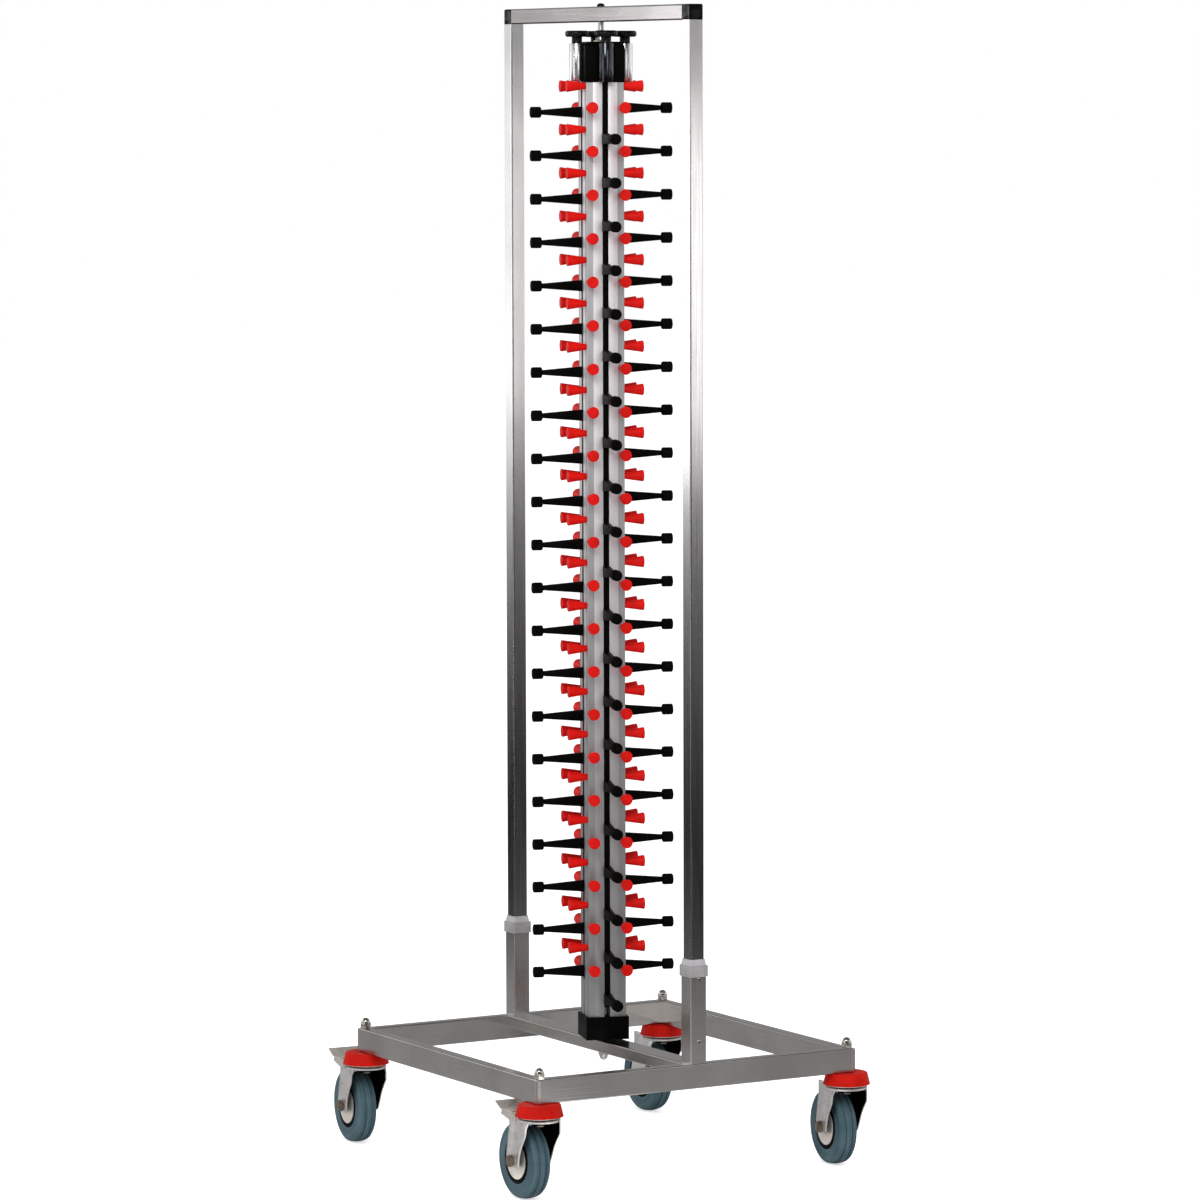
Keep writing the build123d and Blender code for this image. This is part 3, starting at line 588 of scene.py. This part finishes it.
# rounded end of the lowest nut, under the crossbeam; dome holds radius and drop
rodTipShape = {
    "reach": 0.0072,
    "rise": 0.001,
    "dome": ((0.0070, 0.0030), (0.0060, 0.0056), (0.0042, 0.0076), (0.0020, 0.0087), (0.0, 0.0090)),
    "steps": 32,
    "smoothAngle": 40,
}
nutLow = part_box("rod_nuts")[0].z
tipTop = nutLow + rodTipShape["rise"]
profile = [(0.0, tipTop), (rodTipShape["reach"], tipTop), (rodTipShape["reach"], nutLow)]
profile += [(radius, nutLow - drop) for radius, drop in rodTipShape["dome"]]
rodTip = turnProfile("rodTip", profile, rodTipShape["steps"])
rodMiddle = sum(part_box("centre_rod"), Vector()) / 2
setInPlace(rodTip, Matrix.Translation((rodMiddle.x, rodMiddle.y, 0)))
shadeSmooth(rodTip, rodTipShape["smoothAngle"])
fit(rodTip, brightSteel, "bright_fasteners", body="root")

# strips, arms, caps and knobs on the column's four sides
sidePieces = (
    ("strip_", blackPlastic, "black_plastic", 0.0003),
    ("arms_", blackPlastic, "black_plastic", 0.0008),
    ("arm_caps_", plastics["capRubber"], "cap_rubber", 0.0003),
    ("knob_", plastics["knobBlackPlastic"], "knob_black", 0.0004),
)
for side in ("front", "right", "back", "left"):
    for stem, material, slot, width in sidePieces:
        soften(stem + side, material, slot, width)
print("column dressed")


# casters

tyreShape = {
    "beadRadius": 0.0380,
    "crownRadius": 0.0625,
    "crownDrop": 0.0020,
    "crownHalf": 0.0120,
    # sidewall from the bead outwards, with a shallow ring: radius, half width
    "wall": (
        (0.0390, 0.0152), (0.0400, 0.0155), (0.0430, 0.0156), (0.0437, 0.0149), (0.0500, 0.0150),
        (0.0507, 0.0157), (0.0535, 0.0160), (0.0560, 0.0157), (0.0575, 0.0152), (0.0592, 0.0140),
    ),
    # tread points: half width, depth below the crown
    "tread": (
        (0.0120, 0.0), (0.0094, 0.0), (0.0087, 0.0008), (0.0080, 0.0), (0.0067, 0.0),
        (0.0063, 0.0020), (0.0047, 0.0020), (0.0043, 0.0), (0.0020, 0.0), (0.0, 0.0),
    ),
    "steps": 96,
    "smoothAngle": 40,
}
tyreSkin = {
    "dark": (0.046, 0.088, 0.108),
    "light": (0.094, 0.154, 0.182),
    "ringScale": (260, 6, 6),
    "dustScale": 35,
    "dust": ((0.35, (0.85, 0.86, 0.88)), (0.75, (1.12, 1.12, 1.10))),
    "roughness": (0.5, 0.72),
    "specular": 0.16,
    "grainScale": 1800,
    "grainStrength": 0.35,
    "grainHeight": 0.00004,
}


def wheelPlace(caster):
    # wheel centre, the turn of its axle about Z, and the axle's direction
    low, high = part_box("tyre_" + caster)
    joint = next(joint for joint in frame["joints"] if joint["name"] == caster + "_wheel_spin")
    axis = Vector(joint["axis"])
    turn = math.atan2(axis.y, axis.x)
    return (low + high) / 2, turn, Vector((math.cos(turn), math.sin(turn), 0))


def tyreRubber(caster):
    # rings round the axle, dust and a fine grain
    centre, turn, _ = wheelPlace(caster)
    roughness, specular = tyreSkin["roughness"], tyreSkin["specular"]
    material = newMaterial("tyreRubber_" + caster, tyreSkin["light"], roughness[0], specular=specular)
    tree = material.node_tree
    shift = Matrix.Rotation(-turn, 3, "Z") @ centre
    origin = tuple(-away * scale for away, scale in zip(shift, tyreSkin["ringScale"]))
    rings = objectNoise(tree, tyreSkin["ringScale"], 2, origin, (0, 0, -turn))
    dust = objectNoise(tree, (tyreSkin["dustScale"],) * 3, detail=5)
    skin = objectNoise(tree, (tyreSkin["grainScale"],) * 3, detail=2)
    worn = colourRamp(tree, dust, tyreSkin["dust"])
    wire(tree, "Base Color", multiplyColours(tree, twoTones(tree, rings, tyreSkin), worn))
    wire(tree, "Roughness", spread(tree, dust, *roughness))
    addBump(tree, skin, tyreSkin["grainStrength"], tyreSkin["grainHeight"])
    return material


def tyrePiece(caster):
    # grooved tread and ringed sidewalls, turned about Z and laid on the axle
    half = list(tyreShape["wall"])
    for side, depth in tyreShape["tread"]:
        drop = tyreShape["crownDrop"] * (side / tyreShape["crownHalf"]) ** 2
        half.append((tyreShape["crownRadius"] - drop - depth, side))
    mirrored = [(radius, -side) for radius, side in reversed(half[:-1])]
    bead, beadHalf = tyreShape["beadRadius"], half[0][1]
    profile = [(bead, beadHalf), *half, *mirrored, (bead, -beadHalf), (bead, beadHalf)]
    tyre = turnProfile("tyre_" + caster + "_finish", profile, tyreShape["steps"])
    centre, turn, _ = wheelPlace(caster)
    across = Matrix.Rotation(turn, 4, "Z") @ Matrix.Rotation(math.pi / 2, 4, "Y")
    setInPlace(tyre, Matrix.Translation(centre) @ across)
    shadeSmooth(tyre, tyreShape["smoothAngle"])
    return tyre


forkLook = {
    "edge": 0.0005,
    "facing": 0.6,
    # the crown's dish, above the top of the tyre
    "dish": (0.0035, 0.0077),
    # faces of painted shade reach this far along the axle
    "dishReach": 0.0235,
    "legReach": 0.036,
}


def forkPiece(caster):
    # pressed fork, with painted shade on the dish and on the faces turned to the wheel
    fork = soften("fork_" + caster, metals["forkZinc"], "fork_zinc", forkLook["edge"])
    centre, _, axle = wheelPlace(caster)
    dishLow, dishHigh = (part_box("tyre_" + caster)[1].z + rise for rise in forkLook["dish"])

    def inPaintedShade(face):
        offset = (face.center - centre).dot(axle)
        inward = -face.normal.dot(axle) * math.copysign(1, offset)
        inLegs = inward > forkLook["facing"] and abs(offset) < forkLook["legReach"]
        underneath = -face.normal.z > forkLook["facing"] or dishLow < face.center.z < dishHigh
        return inLegs or underneath and abs(offset) < forkLook["dishReach"]

    markFaces(fork, plastics["forkPaintedShade"], inPaintedShade)


# reaches from the wheel's centre, along the axle or out from it
axleLook = {"edge": 0.0004, "guardReach": 0.0125, "nutReach": 0.029, "nutTrim": 0.004}


def shortenNut(piece, centre, axle):
    # draws the outer end of the nut, the longer end of the bolt, towards the fork
    openMesh(piece, "DESELECT")
    bpy.ops.object.mode_set(mode="OBJECT")
    offsets = [(corner.co - centre).dot(axle) for corner in piece.data.vertices]
    nutSide = math.copysign(1, max(offsets) + min(offsets))
    for corner, offset in zip(piece.data.vertices, offsets):
        corner.select = offset * nutSide > axleLook["nutReach"]
    bpy.ops.object.mode_set(mode="EDIT")
    bpy.ops.transform.translate(value=-axle * nutSide * axleLook["nutTrim"])
    bpy.ops.object.mode_set(mode="OBJECT")


def axlePiece(caster):
    # dark bolt and nut, with pale thread guards round them
    piece = soften("axle_" + caster, metals["axleSteel"], "fork_zinc", axleLook["edge"])
    centre, _, axle = wheelPlace(caster)
    shortenNut(piece, centre, axle)
    corners = piece.data.vertices

    def onGuard(face):
        reaches = [(corners[index].co - centre).cross(axle).length for index in face.vertices]
        return max(reaches) > axleLook["guardReach"]

    markFaces(piece, metals["guardPale"], onGuard)


wheelLook = {"rimEdge": 0.0006, "pedalEdge": 0.0006}
for caster in ("front_left", "front_right", "rear_left", "rear_right"):
    forkPiece(caster)
    axlePiece(caster)
    soften("rim_" + caster, plastics["rimBlackPlastic"], "rim_black", wheelLook["rimEdge"])
    fit(tyrePiece(caster), tyreRubber(caster), "tyre_grey", "tyre_" + caster)
    pedal = "brake_pedal_" + caster
    if pedal in nodes:
        soften(pedal, metals["pedalSteel"], "pedal_steel", wheelLook["pedalEdge"])
print("casters dressed")


# weld lines down the mitred corners of the base

seamShape = {
    "radius": 0.0005,
    "waist": 0.00038,
    "beads": 24,
    "inset": 0.0002,
    "ends": 0.002,
    "steps": 8,
    "smoothAngle": 60,
}


def mitreSeam(x, y, low, high):
    # a row of small beads, thinner between them
    step = (high - low) / seamShape["beads"]
    profile = [(0.0, low)]
    for index in range(seamShape["beads"]):
        profile.append((seamShape["waist"], low + index * step))
        profile.append((seamShape["radius"], low + (index + 0.5) * step))
    profile += [(seamShape["waist"], high), (0.0, high)]
    seam = turnProfile("mitreSeam", profile, seamShape["steps"])
    setInPlace(seam, Matrix.Translation((x, y, 0)))
    return seam


frontLow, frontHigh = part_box("base_front_rail")
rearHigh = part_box("base_rear_rail")[1]
inset = seamShape["inset"]
seams = [
    mitreSeam(x, y, frontLow.z + seamShape["ends"], frontHigh.z - seamShape["ends"])
    for x in (frontLow.x + inset, frontHigh.x - inset)
    for y in (frontLow.y + inset, rearHigh.y - inset)
]
weldLines = joinPieces(seams, "weldLines")
shadeSmooth(weldLines, seamShape["smoothAngle"])
fit(weldLines, metals["weldLine"], "frame_steel", body="root")
print("weld lines laid")


# studio: camera, floor, world and lamps

cameraView = {
    "place": (-4.7315, -8.1116, 1.7452),
    "tilt": 85.011,
    "heading": -30.345,
    "roll": -0.152,
    "lens": 171.18,
    "sensor": 36,
    "sees": 100,
}
cameraData = bpy.data.cameras.new("viewCamera")
camera = bpy.data.objects.new("viewCamera", cameraData)
bpy.context.scene.collection.objects.link(camera)
cameraData.lens = cameraView["lens"]
cameraData.sensor_width = cameraView["sensor"]
cameraData.clip_end = cameraView["sees"]
aim = Euler((math.radians(cameraView["tilt"]), 0, math.radians(cameraView["heading"]))).to_matrix()
rolled = aim @ Matrix.Rotation(math.radians(cameraView["roll"]), 3, "Z")
camera.matrix_world = Matrix.Translation(cameraView["place"]) @ rolled.to_4x4()
bpy.context.scene.camera = camera

studioLook = {
    "light": 0.72,
    # the camera's side of the studio, which gloss sees dark
    "darkSide": (-0.503, -0.864, 0.0),
    # brightness that gloss sees: by turn towards the dark side, as a cosine
    "walls": (
        (-1.0, 0.32), (-0.90, 0.36), (-0.72, 1.0), (-0.45, 1.0), (0.0, 1.0), (0.25, 0.80),
        (0.50, 0.48), (0.72, 0.12), (0.88, 0.10), (0.96, 0.03), (1.0, 0.03),
    ),
    # share left by height of the ray, as a sine
    "ceiling": ((0.0, 1.0), (0.25, 1.0), (0.55, 0.25), (1.0, 0.15)),
}
floorLook = {
    "size": 60,
    "colour": (0.82, 0.82, 0.82),
    "roughness": 0.9,
    # added for the camera and glass, so that the bare floor is white
    "lift": 0.60,
    # brightness that gloss sees, by distance from the object in metres
    "distance": (
        (0.0, 0.43), (1.3, 0.43), (1.7, 0.40), (2.5, 0.24), (3.2, 0.05), (4.0, 0.01),
        (6.3, 0.03), (8.3, 0.20), (13.0, 0.30), (16.0, 0.30), (19.5, 1.3), (30.0, 1.3),
    ),
    # its share by side, as the walls': near the object, where a pale strip catches rounded
    # corners, and far from it, with the distances between which one passes into the other
    "nearSide": ((-1.0, 1.0), (0.80, 1.0), (0.87, 2.4), (0.96, 2.4), (1.0, 1.6)),
    "farSide": (
        (-1.0, 0.8), (-0.60, 1.5), (-0.40, 1.5), (0.0, 1.0), (0.50, 0.42), (0.75, 0.15), (1.0, 0.1),
    ),
    "passage": (8.0, 15.0),
    # pale patches that the inner corners catch: x, y, reach, brightness
    "patches": ((-0.26, -0.69, 0.34, 1.3), (0.80, -0.66, 0.24, 0.3)),
}


def whiteRays(tree):
    # camera rays and rays through glass, and glossy rays
    path = addNode(tree, "ShaderNodeLightPath").outputs
    white = calculate(tree, "MAXIMUM", path["Is Camera Ray"], path["Is Transmission Ray"])
    return white, path["Is Glossy Ray"]


def glossyFloor(tree):
    # what gloss sees of the floor, by distance and side
    place = objectPlace(tree)
    reach = vectorNode(tree, "LENGTH", place).outputs["Value"]
    ahead = vectorNode(tree, "NORMALIZE", place).outputs[0]
    facing = vectorNode(tree, "DOT_PRODUCT", ahead, studioLook["darkSide"]).outputs["Value"]
    near = levelRamp(tree, facing, floorLook["nearSide"])
    far = levelRamp(tree, facing, floorLook["farSide"])
    passing = spread(tree, reach, 0, 1, *floorLook["passage"])
    side = addNode(tree, "ShaderNodeMix", {0: passing, 2: near, 3: far}).outputs[0]
    level = calculate(tree, "MULTIPLY", side, levelRamp(tree, reach, floorLook["distance"]))
    for x, y, size, brightness in floorLook["patches"]:
        away = vectorNode(tree, "DISTANCE", place, (x, y, 0)).outputs["Value"]
        level = calculate(tree, "ADD", level, spread(tree, away, brightness, 0.0, size / 2, size))
    return level


def floorMaterial():
    # the camera and glass see the floor lifted to white, gloss sees its own levels
    material = newMaterial("paleFloor", floorLook["colour"], floorLook["roughness"], specular=0.0)
    tree = material.node_tree
    white, gloss = whiteRays(tree)
    mirrored = addNode(tree, "ShaderNodeEmission", {1: glossyFloor(tree)})
    lift = calculate(tree, "MULTIPLY", white, floorLook["lift"])
    glow = addNode(tree, "ShaderNodeEmission", {1: lift})
    shader = tree.nodes["Principled BSDF"]
    both = addNode(tree, "ShaderNodeAddShader", {0: shader.outputs[0], 1: glow.outputs[0]})
    shaders = {0: gloss, 1: both.outputs[0], 2: mirrored.outputs[0]}
    choice = addNode(tree, "ShaderNodeMixShader", shaders).outputs[0]
    tree.links.new(choice, tree.nodes["Material Output"].inputs["Surface"])
    return material


deselectAll()
bpy.ops.mesh.primitive_plane_add(size=floorLook["size"])
floor = bpy.context.object
floor.name = "floor"
paint(floor, floorMaterial())

world = bpy.data.worlds.new("studioWorld")
bpy.context.scene.world = world
world.use_nodes = True
sky = world.node_tree
ray = addNode(sky, "ShaderNodeTexCoord").outputs["Generated"]
facing = vectorNode(sky, "DOT_PRODUCT", ray, studioLook["darkSide"]).outputs["Value"]
walls = levelRamp(sky, facing, studioLook["walls"])
ceiling = levelRamp(sky, splitAxes(sky, ray)["Z"], studioLook["ceiling"])
white, gloss = whiteRays(sky)
plain = spread(sky, white, studioLook["light"], 1.0, 0, 1)
mirrored = calculate(sky, "MULTIPLY", walls, ceiling)
strength = addNode(sky, "ShaderNodeMix", {0: gloss, 2: plain, 3: mirrored}).outputs[0]
background = sky.nodes["Background"]
background.inputs["Color"].default_value = (1, 1, 1, 1)
sky.links.new(strength, background.inputs["Strength"])

lamps = (
    # name, place, aim, width, height, power
    ("keyPanel", (-2.8, -3.0, 3.4), (0, 0, 0.9), 1.8, 1.8, 72),
    ("topPanel", (0.2, -0.4, 4.2), (0, 0, 0), 2.2, 2.2, 40),
    ("leftStrip", (-3.6, -0.9, 1.3), (0, -0.1, 1.0), 0.35, 2.4, 12),
    ("backLeftPanel", (-1.604, 1.898, 1.49), (-0.604, 0.166, 1.49), 0.42, 1.02, 4.2),
    ("barPanel", (-1.388, 2.023, 1.93), (-0.388, 0.291, 1.93), 0.11, 0.30, 0.14),
    ("columnPanel", (-0.40, -3.51, 2.0), (-0.05, -0.54, 2.0), 1.3, 1.4, 9.5),
    ("barEndPanel", (-1.05, 1.385, 1.897), (-0.0125, -0.325, 1.87), 0.05, 0.07, 0.02),
    ("frontRightPanel", (1.54, -2.88, 1.35), (0.54, -1.23, 1.35), 0.34, 0.74, 1.2),
)
for name, place, aimAt, width, height, power in lamps:
    lampData = bpy.data.lights.new(name, "AREA")
    lampData.shape = "RECTANGLE"
    lampData.size = width
    lampData.size_y = height
    lampData.energy = power
    lamp = bpy.data.objects.new(name, lampData)
    bpy.context.scene.collection.objects.link(lamp)
    lamp.location = place
    lamp.rotation_euler = (Vector(aimAt) - Vector(place)).to_track_quat("-Z", "Y").to_euler()
    lamp.visible_camera = False
    lamp.visible_glossy = name != "topPanel"
bpy.context.scene.view_settings.view_transform = "Standard"
print("studio ready")
